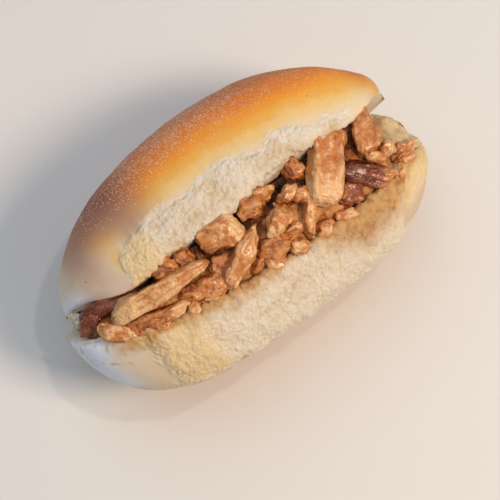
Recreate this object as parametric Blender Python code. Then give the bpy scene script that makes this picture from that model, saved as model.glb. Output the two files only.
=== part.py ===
"""Chicken sandwich: a soft batch-baked roll, slit along one side, hinged at the other and filled with
sauced strips of chicken. It lies on its hinge side, mouth up, so that the filling stays in.

Lengths are in millimetres until a mesh is made. +X runs along the roll, -Y is the front, where the
base half leans, and +Z is up. The origin is under the middle of the roll, on the surface it rests on.
"""

import bmesh
import bpy
import numpy as np
from mathutils import Vector, noise

MM = 0.001

# The roll, measured shut.
ROLL_LENGTH = 164.0
ROLL_DEPTH = 75.0  # from the torn front side to the hinge side
CROWN_HEIGHT = 47.0  # cut face to crown
BASE_HEIGHT = 33.0  # cut face to base
HINGE_WEB = 14.0  # bread left uncut behind the slit
END_LIFT = 8.5  # the slit climbs this far into the crown at the left end
CROWN_SHORT = 5.0  # the crown's left end falls short of the base's

# How it lies open.
HINGE_Y = 6.3
HINGE_Z = 16.5  # the inner end of the slit above the table
CROWN_LEAN = 80.5  # degrees from the floor to the crown half's cut face
OPEN_LEFT = 15.0  # degrees between the cut faces at the left end
OPEN_RIGHT = 34.0

# The patch torn from the next roll in the tray, in shares of half the length.
CROWN_TORN_ENDS = (-0.66, 0.72)
BASE_TORN_ENDS = (-0.77, 0.68)
CROWN_TORN = 17.0  # how far it reaches up the crown half from the lip
CROWN_TORN_THIN = 4.0  # the same at its right end
BASE_TORN = 26.0
TORN_RELIEF = 1.4
CROWN_PUFF = 0.4  # the torn crumb of the crown half stands out this far past the crust
BASE_PUFF = 2.0
LIP_HOLLOWS = (2.0, 3.6)  # how far the crown half's lip is torn back left and right of the middle
TIP_RISE = 3.5  # how far it turns up at the right end
LIP_SWELL = 2.5  # how far the base half's crumb stands over the cut at the lip
END_SWELL = 4.5  # and all over the cut near the right end
END_FALL = 8.0  # where it rounds down to the rim
END_MOUND = 4.5  # how much higher it stands there on the hinge side
FACE_RELIEF = 0.5
CRUMB_GRAIN = 7.0  # distance between crags

GAP = 0.4  # left between pieces that touch
SHORTEST_EDGE = 0.15
FACE_SHARE = 0.3  # part of a half's ring that lies along the cut face

ROLL_STATIONS = 42
ROLL_SIDES = 28
STRIP_STATIONS = 7
STRIP_SIDES = 8
SCRAP_STATIONS = 4
SCRAP_SIDES = 6
HEAP_STATIONS = 22
HEAP_SIDES = 12

# The filling under the strips.
HEAP_LEFT = -76.0
HEAP_RIGHT = 69.0
HEAP_FOOT = 14.0  # from the inner end of the slit
HEAP_SUNK_BASE = 3.0  # its top below the base half's lip
HEAP_SUNK_CROWN = 7.0  # and below the crown half's
HEAP_END_DROPS = (7.0, 16.0)  # how far it falls at the left end and the right
HEAP_LUMP = 1.5
HEAP_CLEAR = 1.2  # from the cut faces

# Each strip: name, start and end as (along the roll, share of the way across the mouth from the base
# half, height over the lips), width, thickness, bend, twist in degrees, end taper.
STRIPS = [
    ("strip_long", (-67.8, 0.48, -1.5), (-23.4, 0.67, 0), 8.5, 7.5, 1.5, -8, -0.6),
    ("strip_under_lip", (-73, 0.72, -6), (-49.2, 0.97, -8), 8.5, 7.0, 1.5, 0, 0.2),
    ("strip_low_left", (-65.4, 0.17, -2.5), (-39.7, 0.26, -2), 7.5, 6.0, 1.0, -15, -0.2),
    ("chunk_lip_left", (-43.6, 1.04, -6), (-32.9, 0.94, -6), 10.5, 7.5, 1.0, 20, 0.2),
    ("chunk_faceted", (-21.9, 0.96, -4), (-4.1, 0.84, -3), 13.5, 9.0, 1.0, -12, 0.15),
    ("strip_diagonal", (-1.6, 0.67, -1), (-23.9, 0.23, -2), 7.8, 7.0, 1.5, 10, 0.2),
    ("chunk_round", (9.7, 0.73, -2), (5.1, 0.42, -2), 11.5, 9.5, 1.0, 0, 0.1),
    ("chunk_folded", (-2.9, 0.96, -3), (7, 0.82, -4), 9.5, 7.0, 1.0, 25, -0.1),
    ("chunk_lower", (-5.3, 0.43, -2.5), (6.5, 0.24, -2.5), 9.5, 7.5, 1.0, -10, 0.1),
    ("strip_flat", (-34.6, 0.35, -3), (-19.6, 0.32, -3.5), 9.5, 5.5, 0.8, 0, 0.1),
    ("strip_thin", (24.6, 0.64, -1), (12.9, 0.17, -1), 4.8, 5.0, 1.0, 0, 0.1),
    ("slab_upright", (47.9, 1.15, -6), (24.8, 0.38, 1), 15.0, 8.0, 1.0, 6, -0.1),
    ("slab_right", (62.3, 1.07, -6), (55.2, 0.50, -2), 10.5, 7.5, 1.0, -10, 0.15),
    ("roller", (40.5, 0.64, -3), (54.9, 0.10, -1.5), 9.5, 8.5, 1.0, 0, 0.1),
    ("chunk_shade", (39.6, 0.44, -5), (34, 0.15, -4), 12.0, 8.0, 0.5, 0, 0.1),
    ("chunk_right_end", (61.9, 0.14, -3), (71, 0.05, -2.5), 8.0, 6.5, 0.8, 0, 0.1),
]

# The small pieces that are fused to the heap, in the same words.
SCRAPS = [
    ("bit_left_end", (-75.4, 0.48, -5), (-68.5, 0.56, -5), 8.0, 6.0, 0.5, 0, 0),
    ("lobe_left", (-72.3, 0.21, -1), (-60.4, 0.10, -1.5), 6.8, 6.0, 1.0, 10, -0.2),
    ("edge_left", (-57.2, 0.15, -2), (-47, 0.15, -2), 5.5, 5.0, 0.8, 0, 0.1),
    ("edge_low_left", (-41.2, 0.16, -2), (-34.9, 0.17, -2), 6.0, 5.5, 0.8, 10, 0),
    ("bit_middle_left", (-39.4, 0.34, -4), (-31, 0.41, -4), 9.0, 7.0, 0.8, 0, 0.1),
    ("bit_under_faceted", (-26.6, 0.48, -5), (-15.4, 0.47, -5), 9.0, 7.0, 0.5, 0, 0),
    ("bit_under_lip", (-34.1, 0.96, -6.5), (-25.8, 0.89, -6.5), 8.5, 7.0, 0.5, 0, -0.2),
    ("edge_flat", (-33.9, 0.20, -3), (-26.3, 0.20, -3), 6.0, 5.0, 0.8, -10, 0),
    ("edge_middle", (-11.6, 0.25, -4), (-6.1, 0.21, -4), 6.0, 5.5, 0.8, 0, 0.1),
    ("bit_edge", (-6.8, 0.22, -2.5), (1.7, 0.00, -2.5), 6.5, 5.5, 1.0, 0, 0),
    ("wedge_lower", (4.9, 0.23, -1.5), (12.3, 0.06, -1), 6.5, 5.5, 0.5, 0, -0.7),
    ("bit_lip", (4.7, 1.06, -5), (13.2, 0.88, -5), 6.5, 6.0, 0.5, 0, 0.1),
    ("bit_middle", (8.8, 0.31, -4), (15.4, 0.42, -4), 7.5, 6.5, 0.5, 0, 0.1),
    ("curl_left", (14.8, 0.82, -2), (19.1, 0.70, -2), 8.0, 5.5, 1.0, 15, 0),
    ("curl_right", (17.8, 0.70, -3), (24.1, 0.61, -3), 6.5, 5.5, 1.0, 0, 0),
    ("bit_deep", (23.2, 1.14, -7), (28.1, 0.80, -7), 8.5, 7.0, 0.5, 0, 0),
    ("edge_right", (15.8, 0.12, -2), (23.3, 0.09, -2), 6.5, 5.0, 0.5, 0, 0.1),
    ("shred_low", (18.1, 0.12, -3), (26.4, 0.14, -3), 8.0, 5.0, 0.8, 0, 0),
    ("flake_low", (25.8, 0.19, -1), (35.6, 0.09, -1), 4.5, 4.0, 0.5, 0, 0),
    ("shred_right", (52.2, 0.56, -1), (58.1, 0.34, -1), 5.0, 4.5, 0.5, 0, 0),
    ("lump_right", (62.6, 0.51, -1), (59.5, 0.34, -1), 6.0, 5.5, 0.5, 0, 0),
    ("tongue_right", (64.7, 0.30, -2), (74.9, 0.12, -1.5), 5.5, 4.5, 0.5, 0, -0.3),
    ("edge_end", (57, 0.02, -2), (62.1, 0.06, -1.5), 5.5, 5.0, 0.5, 0, 0),
]


def taper(u, sharp, power):
    """Share of the full size at station u, from -1 to 1: a superellipse that closes at both ends."""
    return np.clip(1 - np.abs(u) ** sharp, 0, None) ** power


def smooth_step(value, start, end):
    share = np.clip((value - start) / (end - start), 0, 1)
    return share * share * (3 - 2 * share)


def crown_half_depth(u):
    return ROLL_DEPTH / 2 * taper(u, 2.8, 0.45)


def base_half_depth(u):
    return ROLL_DEPTH / 2 * taper(u, 3.0, 0.36)


def rounded(angle, half_width, height, side_power, top_power):
    """Half a superellipse, from the lip round the outside to the hinge side."""
    across = half_width * np.sign(np.cos(angle)) * np.abs(np.cos(angle)) ** side_power
    return across, height * np.abs(np.sin(angle)) ** top_power


def end_lift(u):
    """How far the cut is above the roll's own middle: nothing but near the left end."""
    return END_LIFT * smooth_step(-u, 0.55, 1.0)


def half_ring(u, turn, crown):
    """(depth, height) from the middle of the cut face, at station u and share turn of the way round.
    The first part of the ring is the outside, lip to hinge side, and the rest is the cut face."""
    outside = 1 - FACE_SHARE
    angle = np.pi * np.clip(turn / outside, 0, 1)
    back = np.clip((turn - outside) / FACE_SHARE, 0, 1)
    if crown:
        half, full = crown_half_depth(u), CROWN_HEIGHT
        depth, height = rounded(angle, half, full * taper(u, 2.2, 0.56), 0.8, 0.91)
    else:
        half, full = base_half_depth(u), BASE_HEIGHT
        depth, height = rounded(angle, half, -full * taper(u, np.where(u < 0, 4.4, 3.2), 0.42), 0.56, 0.91)
    height = np.where(turn > outside, 0, height)
    height = height + end_lift(u) * (1 - np.abs(height) / full)
    return np.where(turn > outside, half * (2 * back - 1), depth), height


def lip_shift(u, depth, height, half, crown):
    """How far the bread near the front lip stands above the cut, at a point of a ring that is height
    above it: the crown half's lip is torn back in two hollows, and the base half's has swollen."""
    near = smooth_step(depth, half - 12, half - 1) * np.clip(1 - np.abs(height) / 14, 0, 1)
    if crown:
        left = LIP_HOLLOWS[0] * smooth_step(-np.abs(u + 0.38), -0.34, 0)
        tip = TIP_RISE * smooth_step(u, 0.72, 0.98) * smooth_step(depth, -half, half)
        tip = tip * np.clip(1 - np.abs(height) / 20, 0, 1)
        return near * (left + LIP_HOLLOWS[1] * smooth_step(-np.abs(u - 0.24), -0.34, 0)) + tip
    left_end = smooth_step(-u, 0.80, 0.92)
    end = smooth_step(u, 0.62, 0.78)
    rim = END_SWELL * end - END_FALL * np.clip((u - 0.77) / 0.23, 0, 1) ** 1.5
    rim = rim + END_MOUND * smooth_step(u, 0.74, 0.87) * smooth_step(half / 2 - depth, 0, half)
    swell = LIP_SWELL * (1 - end) * (1 - left_end)
    return swell * near + rim * np.clip(1 - np.abs(height) / 20, 0, 1)


def place_along(u, crown):
    """x of a station. The crown half is drawn in a little at the left end."""
    return u * ROLL_LENGTH / 2 + (CROWN_SHORT * smooth_step(-u, 0.6, 1.0) if crown else 0)


def opening(u):
    """Degrees between the two cut faces, growing from the left end to the right."""
    along = (u + 1) / 2
    return OPEN_LEFT + (OPEN_RIGHT - OPEN_LEFT) * along * (2 - along)


def laid(x, depth, height, lean):
    """A point of a half, turned about the hinge so that its cut face leans at that angle."""
    reach = depth + ROLL_DEPTH / 2 - HINGE_WEB
    angle = np.radians(lean)
    y = HINGE_Y - reach * np.cos(angle) + height * np.sin(angle)
    z = HINGE_Z + reach * np.sin(angle) + height * np.cos(angle)
    return np.stack(np.broadcast_arrays(x, y, z), -1)


def grid_normals(points):
    """Unit normals of a grid of rings, pointing away from the middle of each ring."""
    along = np.gradient(points, axis=0)
    padded = np.concatenate([points[:, -1:], points, points[:, :1]], axis=1)
    around = (padded[:, 2:] - padded[:, :-2]) / 2
    normal = np.cross(around, along)
    normal /= np.maximum(np.linalg.norm(normal, axis=-1, keepdims=True), 1e-9)
    out = points - points.mean(axis=1, keepdims=True)
    return normal * np.sign(np.sum(normal * out))


def torn_share(u, height, front, crown):
    """1 on the torn patch of the front side and 0 on the crust."""
    left, right = CROWN_TORN_ENDS if crown else BASE_TORN_ENDS
    ends = smooth_step(u, left, left + 0.1) * smooth_step(-u, -right, 0.1 - right)
    if crown:
        reach = CROWN_TORN + (CROWN_TORN_THIN - CROWN_TORN) * np.clip((u - 0.05) / 0.65, 0, 1)
    else:
        reach = BASE_TORN
    return ends * smooth_step(-np.abs(height), -reach - 2, 2 - reach) * front


def crags(points, strength):
    """How far each point stands out, from smooth noise with bumps CRUMB_GRAIN apart."""
    flat = points.reshape(-1, 3) / CRUMB_GRAIN
    bumps = [noise.noise(Vector(p)) + 0.5 * noise.noise(Vector(p) * 2) for p in flat]
    return np.array(bumps).reshape(points.shape[:-1]) * strength


def half_rings(crown, grow):
    """The rings of one half of the roll, set out by grow along their normals."""
    turn, w = np.meshgrid(
        np.arange(ROLL_SIDES) / ROLL_SIDES, np.linspace(-1, 1, ROLL_STATIONS + 2)[1:-1]
    )
    u = np.sin(w * np.pi / 2)
    depth, height = half_ring(u, turn, crown)
    half = crown_half_depth(u) if crown else base_half_depth(u)
    shift = lip_shift(u, depth, height - end_lift(u), half, crown)
    lean = CROWN_LEAN - (0 if crown else opening(u))
    points = laid(place_along(u, crown), depth, height + shift, lean)
    on_face = (turn > 1 - FACE_SHARE) * taper(u, 4, 1)
    torn = torn_share(u, height, (depth > 0) & (turn < 0.5), crown)
    normal = grid_normals(points)
    puff = (CROWN_PUFF if crown else BASE_PUFF) * torn
    relief = crags(points, TORN_RELIEF * torn + FACE_RELIEF * on_face) + puff + grow
    points = points + normal * relief[..., None]
    points[..., 2] = np.maximum(points[..., 2], 0)  # soft bread flattens where it rests
    return points


def mouth_lip(u, across):
    """How far the line between the lips is from the inner end of the slit."""
    return ROLL_DEPTH / 2 - HINGE_WEB + crown_half_depth(u) * across + base_half_depth(u) * (1 - across)


def mouth(x, across, proud):
    """A point in the mouth: across is 0 on the base half's face and 1 on the crown half's, and proud
    is the height over the line between the lips."""
    u = np.clip(x / (ROLL_LENGTH / 2), -1, 1)
    depth = mouth_lip(u, across) + proud - ROLL_DEPTH / 2 + HINGE_WEB
    return laid(x, depth, end_lift(u), CROWN_LEAN - opening(u) * (1 - across))


def strip_rings(index, strip, grow, stations=STRIP_STATIONS, sides=STRIP_SIDES):
    """Rings of one strip of chicken: a bent bar with blunt ends, boxy across and lumpy along."""
    _, start, end, width, thickness, bend, twist, narrowing = strip
    first = mouth(*start)
    last = mouth(*end)
    middle = (first + last) / 2
    axis = (last - first) / np.linalg.norm(last - first)
    out = middle - np.array([middle[0], HINGE_Y, HINGE_Z])
    out -= axis * (out @ axis)
    out /= np.linalg.norm(out)
    side = np.cross(axis, out)
    angle = np.radians(twist)
    out, side = out * np.cos(angle) - side * np.sin(angle), side * np.cos(angle) + out * np.sin(angle)
    w, phi = np.meshgrid(
        np.linspace(-1, 1, stations + 2)[1:-1],
        2 * np.pi * np.arange(sides) / sides,
        indexing="ij",
    )
    along = np.sin(w * np.pi / 2)
    size = taper(along, 5, 0.45) * (1 + narrowing * along * 0.5)
    lumps = 1 + 0.10 * np.sin(3 * phi + index) * np.cos(4 * along + 2 * index)
    lumps += 0.07 * np.sin(5 * along + 1.7 * index)
    across = np.sign(np.cos(phi)) * np.abs(np.cos(phi)) ** 0.65 * size * lumps
    over = np.sign(np.sin(phi)) * np.abs(np.sin(phi)) ** 0.65 * size * lumps
    slant = 0.25 * np.sin(2.3 * index) * width * np.cos(phi)
    length = np.linalg.norm(last - first) / 2
    points = (
        middle
        + (along * length + slant)[..., None] * axis
        + (across * (width / 2 + grow))[..., None] * side
        + (over * (thickness / 2 + grow) + bend * (1 - along**2))[..., None] * out
    )
    return points + grow * np.sign(along)[..., None] * axis * (np.abs(along) > 0.9)[..., None]


def heap_top(u, share):
    """How far the heap's top is from the inner end of the slit, at that share of the way across."""
    sunk = HEAP_SUNK_CROWN * share + HEAP_SUNK_BASE * (1 - share)
    drop = HEAP_END_DROPS[0] * (1 - taper(u / 0.95, 8, 0.5)) * (u < 0)
    return mouth_lip(u, share) - sunk - drop - HEAP_END_DROPS[1] * smooth_step(u, 0.7, 0.85)


def heap_rings():
    """Rings of the filling under the strips: a wedge with a lumpy top, clear of both cut faces."""
    x, turn = np.meshgrid(
        np.linspace(HEAP_LEFT, HEAP_RIGHT, HEAP_STATIONS), np.arange(HEAP_SIDES), indexing="ij"
    )
    u = x / (ROLL_LENGTH / 2)
    share = np.clip((turn - 1.5) / (HEAP_SIDES - 4), 0, 1)
    wall = np.array([0.0, 0.45])  # how far up each cut face the ring's lower points are
    up = np.concatenate([wall, np.ones(HEAP_SIDES - 4), wall[::-1]])[turn]
    reach = HEAP_FOOT + (heap_top(u, share) - HEAP_FOOT) * up
    room = np.radians(opening(u)) - 2 * HEAP_CLEAR / reach
    lean = np.degrees(np.radians(CROWN_LEAN) - HEAP_CLEAR / reach - room * (1 - share))
    reach = reach + crags(laid(x, reach, 0, lean), HEAP_LUMP * (up == 1))
    return laid(x, reach - ROLL_DEPTH / 2 + HINGE_WEB, end_lift(u), lean)


def solid_from_rings(name, rings):
    """A closed mesh object from a grid of rings, with a point closing each end."""
    stations, sides = rings.shape[:2]
    build = bmesh.new()
    rows = [[build.verts.new(Vector(p) * MM) for p in ring] for ring in rings]
    for row, following in zip(rows, rows[1:]):
        for side in range(sides):
            after = (side + 1) % sides
            build.faces.new((row[side], following[side], following[after], row[after]))
    for row in (rows[0], rows[-1]):
        pole = build.verts.new(sum((v.co for v in row), Vector()) / sides)
        for side in range(sides):
            build.faces.new((row[side], row[(side + 1) % sides], pole))
    bmesh.ops.triangulate(build, faces=build.faces[:])
    bmesh.ops.recalc_face_normals(build, faces=build.faces[:])
    mesh = bpy.data.meshes.new(name)
    build.to_mesh(mesh)
    build.free()
    body = bpy.data.objects.new(name, mesh)
    bpy.context.scene.collection.objects.link(body)
    return body


def combine(body, others, operation, solver="EXACT"):
    """Joins others to body or cuts them from it, and leaves the others in place."""
    group = bpy.data.collections.new("tools")
    for other in others:
        group.objects.link(other)
    modifier = body.modifiers.new(operation.lower(), "BOOLEAN")
    modifier.operation = operation
    modifier.operand_type = "COLLECTION"
    modifier.collection = group
    modifier.solver = solver
    bpy.context.view_layer.update()
    graph = bpy.context.evaluated_depsgraph_get()
    body.data = bpy.data.meshes.new_from_object(body.evaluated_get(graph))
    body.modifiers.clear()
    bpy.data.collections.remove(group)


def islands(build):
    """The vertices of each connected piece, the largest piece first."""
    left, found = set(build.verts), []
    while left:
        island, front = set(), [left.pop()]
        while front:
            vert = front.pop()
            island.add(vert)
            joined = {edge.other_vert(vert) for edge in vert.link_edges} & left
            left -= joined
            front.extend(joined)
        found.append(island)
    return sorted(found, key=len, reverse=True)


def collapse_short_edges(build, shortest):
    """Merges the ends of short edges, except where that would pinch the surface."""
    short = [edge for edge in build.edges if edge.calc_length() < shortest]
    for edge in sorted(short, key=lambda edge: edge.calc_length()):
        if not edge.is_valid or edge.calc_length() >= shortest:
            continue
        first, second = edge.verts
        shared = {e.other_vert(first) for e in first.link_edges}
        shared &= {e.other_vert(second) for e in second.link_edges}
        if len(shared) == 2 and len(edge.link_faces) == 2:
            bmesh.ops.pointmerge(build, verts=[first, second], merge_co=(first.co + second.co) / 2)


def tidy(body):
    """Splits the faces into triangles, drops the scraps that a cut leaves and the shortest edges."""
    build = bmesh.new()
    build.from_mesh(body.data)
    kept = islands(build)[0]
    bmesh.ops.delete(build, geom=[vert for vert in build.verts if vert not in kept], context="VERTS")
    bmesh.ops.triangulate(build, faces=build.faces[:])
    collapse_short_edges(build, SHORTEST_EDGE * MM)
    build.to_mesh(body.data)
    build.free()


def remove(objects):
    for item in objects:
        bpy.data.objects.remove(item)


def finish(name, colour, roughness):
    material = bpy.data.materials.new(name)
    material.use_nodes = True
    shader = material.node_tree.nodes["Principled BSDF"]
    shader.inputs["Base Color"].default_value = (*colour, 1)
    shader.inputs["Roughness"].default_value = roughness
    return material


def make_roll():
    """The roll: crown and base halves that run into each other behind the slit, as one solid."""
    roll = solid_from_rings("bread_roll", half_rings(crown=False, grow=0))
    crown = solid_from_rings("crown", half_rings(crown=True, grow=0))
    combine(roll, [crown], "UNION")
    remove([crown])
    tidy(roll)
    roll.data.materials.clear()
    roll.data.materials.append(finish("bread", (0.80, 0.55, 0.27), 0.75))
    return roll


def make_filling():
    """The strips, with a node each, and the heap below them with the scraps fused on."""
    meat = finish("sauced_chicken", (0.47, 0.22, 0.08), 0.35)
    room = [
        solid_from_rings("room_base", half_rings(crown=False, grow=GAP)),
        solid_from_rings("room_crown", half_rings(crown=True, grow=GAP)),
    ]
    strips, room_for_strips = [], []
    for index, strip in enumerate(STRIPS):
        body = solid_from_rings(strip[0], strip_rings(index, strip, 0))
        combine(body, room + room_for_strips, "DIFFERENCE")
        tidy(body)
        strips.append(body)
        room_for_strips.append(solid_from_rings("room", strip_rings(index, strip, GAP)))
    heap = solid_from_rings("chicken_heap", heap_rings())
    small = [
        solid_from_rings(scrap[0], strip_rings(len(STRIPS) + index, scrap, 0, SCRAP_STATIONS, SCRAP_SIDES))
        for index, scrap in enumerate(SCRAPS)
    ]
    combine(heap, small, "UNION")
    combine(heap, room + room_for_strips, "DIFFERENCE")
    tidy(heap)
    remove(small + room + room_for_strips)
    for body in [heap, *strips]:
        body.data.materials.clear()
        body.data.materials.append(meat)


def main():
    for item in list(bpy.data.objects):
        bpy.data.objects.remove(item)
    make_roll()
    make_filling()


main()
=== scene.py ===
"""Looks of the chicken sandwich: a soft roll with a torn side, hinged open on strips of sauced chicken.

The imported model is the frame. The roll's two halves, the heap of chicken and each strip are made again
here as fine surfaces over the same driving dimensions, which are in millimetres until a mesh is made.
+X runs along the roll, -Y is the front, where the base half leans, and +Z is up.
"""

import bpy
import numpy as np
from mathutils import Matrix, Vector


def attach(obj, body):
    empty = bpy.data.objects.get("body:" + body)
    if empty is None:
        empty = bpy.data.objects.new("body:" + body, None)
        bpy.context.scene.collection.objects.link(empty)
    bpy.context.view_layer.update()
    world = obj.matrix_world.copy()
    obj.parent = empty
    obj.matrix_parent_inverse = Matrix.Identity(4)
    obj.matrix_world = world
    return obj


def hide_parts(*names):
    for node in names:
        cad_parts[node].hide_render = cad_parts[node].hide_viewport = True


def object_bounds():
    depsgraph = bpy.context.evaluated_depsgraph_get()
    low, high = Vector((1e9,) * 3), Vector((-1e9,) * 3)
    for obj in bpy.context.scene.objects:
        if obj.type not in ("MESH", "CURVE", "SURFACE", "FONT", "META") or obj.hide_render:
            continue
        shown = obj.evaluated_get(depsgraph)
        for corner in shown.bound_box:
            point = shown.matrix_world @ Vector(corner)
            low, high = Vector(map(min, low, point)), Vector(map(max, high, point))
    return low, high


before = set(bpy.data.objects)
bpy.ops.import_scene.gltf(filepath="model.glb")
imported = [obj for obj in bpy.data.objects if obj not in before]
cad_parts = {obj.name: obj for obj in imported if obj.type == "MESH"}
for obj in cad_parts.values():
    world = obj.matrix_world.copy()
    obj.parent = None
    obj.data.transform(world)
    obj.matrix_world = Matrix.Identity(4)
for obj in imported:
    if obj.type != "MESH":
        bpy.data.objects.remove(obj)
cad_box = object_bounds()

MM = 0.001

# ---------------- the roll, as the solids have it
ROLL_LENGTH = 164.0
ROLL_DEPTH = 75.0  # from the torn front side to the hinge side
CROWN_HEIGHT = 47.0  # cut face to crown
BASE_HEIGHT = 33.0  # cut face to base
HINGE_WEB = 14.0  # bread left uncut behind the slit
END_LIFT = 8.5  # the slit climbs this far into the crown at the left end
CROWN_SHORT = 5.0  # the crown's left end falls short of the base's
HINGE_Y = 6.3
HINGE_Z = 16.5
CROWN_LEAN = 80.5  # degrees from the floor to the crown half's cut face
OPEN_LEFT = 15.0  # degrees between the cut faces at the left end
OPEN_RIGHT = 34.0

# The patch torn from the next roll in the tray, in shares of half the length.
CROWN_TORN_ENDS = (-0.64, 0.74)
BASE_TORN_ENDS = (-0.76, 0.68)
CROWN_TORN = 17.0  # how far it reaches up the crown half from the lip
CROWN_TORN_THIN = 4.0  # the same at its right end
BASE_TORN = 27.0
CROWN_PUFF = 0.4  # how far its crumb stands proud
BASE_PUFF = 2.0
CROWN_SOFT = (2.2, 3.5)  # half the width of its ragged edge, in colour and in height
BASE_SOFT = (4.0, 7.0)
LIP_SOFT = 3.0  # the same of the lip's torn stretch
CROWN_PORE_SHADE = 0.52  # how much painted shade lies in its crumb's pores
BASE_PORE_SHADE = 0.38
LIP_HOLLOWS = (2.0, 3.6)  # how far the crown half's lip is torn back left and right of the middle
TIP_RISE = 3.5  # how far it turns up at the right end
LIP_SWELL = 2.5  # how far the base half's crumb stands over the cut at the lip
END_SWELL = 4.5  # and all over the cut near the right end
END_FALL = 8.0  # how far it falls from there to the rim
END_MOUND = 4.5  # how much higher it stands there on the hinge side

# Fineness of the roll's surface.
ROLL_STATIONS = 500
FACE_SHARE = 0.3  # part of a half's ring that lies along the cut face
FACE_BLEND = (0.70, 0.72)  # shares of the way round over which the looks become the cut face's
CROWN_FINE = 0.13  # up to this share of the way round the points are closest together
BASE_FINE = 0.2

# ---------------- the filling
HEAP_LEFT = -76.0
HEAP_RIGHT = 69.0
HEAP_FOOT = 14.0  # from the inner end of the slit
HEAP_SUNK_BASE = 3.0  # how far its top lies under the line between the lips
HEAP_SUNK_CROWN = 7.0
HEAP_END_DROPS = (7.0, 16.0)  # how far it falls at the left end and the right
HEAP_CLEAR = 0.5
HEAP_GRID = (420, 120)  # rings along it and points round each
HEAP_WALL = 12  # how many of those points climb each side
STRIP_GRID = (110, 72)
SCRAP_GRID = (64, 48)
SHORT_STRIP = 12.0  # half the length below which a piece is a chunk with more flat sides

# Each strip: its node, start and end as (along the roll, share of the way across the mouth from the
# base half, height over the lips), width, thickness, bend, twist in degrees, end taper.
STRIPS = [
    ("strip_long", (-67.8, 0.48, -1.5), (-23.4, 0.67, 0), 8.5, 7.5, 1.5, -8, -0.6),
    ("strip_under_lip", (-73, 0.72, -6), (-49.2, 0.97, -8), 8.5, 7.0, 1.5, 0, 0.2),
    ("strip_low_left", (-65.4, 0.17, -2.5), (-39.7, 0.26, -2), 7.5, 6.0, 1.0, -15, -0.2),
    ("chunk_lip_left", (-43.6, 1.04, -6), (-32.9, 0.94, -6), 10.5, 7.5, 1.0, 20, 0.2),
    ("chunk_faceted", (-21.9, 0.96, -4), (-4.1, 0.84, -3), 13.5, 9.0, 1.0, -12, 0.15),
    ("strip_diagonal", (-1.6, 0.67, -1), (-23.9, 0.23, -2), 7.8, 7.0, 1.5, 10, 0.2),
    ("chunk_round", (9.7, 0.73, -2), (5.1, 0.42, -2), 11.5, 9.5, 1.0, 0, 0.1),
    ("chunk_folded", (-2.9, 0.96, -3), (7, 0.82, -4), 9.5, 7.0, 1.0, 25, -0.1),
    ("chunk_lower", (-5.3, 0.43, -2.5), (6.5, 0.24, -2.5), 9.5, 7.5, 1.0, -10, 0.1),
    ("strip_flat", (-34.6, 0.35, -3), (-19.6, 0.32, -3.5), 9.5, 5.5, 0.8, 0, 0.1),
    ("strip_thin", (24.6, 0.64, -1), (12.9, 0.17, -1), 4.8, 5.0, 1.0, 0, 0.1),
    ("slab_upright", (47.9, 1.15, -6), (24.8, 0.38, 1), 15.0, 8.0, 1.0, 6, -0.1),
    ("slab_right", (62.3, 1.07, -6), (55.2, 0.50, -2), 10.5, 7.5, 1.0, -10, 0.15),
    ("roller", (40.5, 0.64, -3), (54.9, 0.10, -1.5), 9.5, 8.5, 1.0, 0, 0.1),
    ("chunk_shade", (39.6, 0.44, -5), (34, 0.15, -4), 12.0, 8.0, 0.5, 0, 0.1),
    ("chunk_right_end", (61.9, 0.14, -3), (71, 0.05, -2.5), 8.0, 6.5, 0.8, 0, 0.1),
]

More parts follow.
